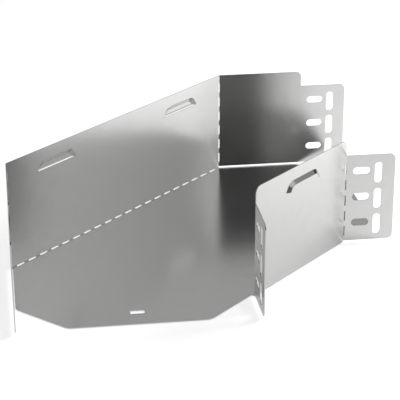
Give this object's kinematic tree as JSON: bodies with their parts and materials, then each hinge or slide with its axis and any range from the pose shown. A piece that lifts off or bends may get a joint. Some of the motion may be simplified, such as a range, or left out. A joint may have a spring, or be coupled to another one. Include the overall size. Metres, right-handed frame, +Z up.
{
  "type": "cable tray bend",
  "caption": "Folded sheet-steel cable tray bend that turns a tray through a right angle, with a flat floor, two slanted walls, slotted joint tongues and cover lances.",
  "frame": {"origin": "middle of the part's outer box in plan, at the floor's underside", "axes": "+Z up; one port opens to -Y and one to +X; the plane x + y = 0 halves the turn and is the part's mirror plane"},
  "size_m": [0.3482, 0.3482, 0.1],
  "materials": {
    "sheet_steel": "satin"
  },
  "bodies": {
    "root": {"tray_bend": "sheet_steel"}
  },
  "joints": []
}
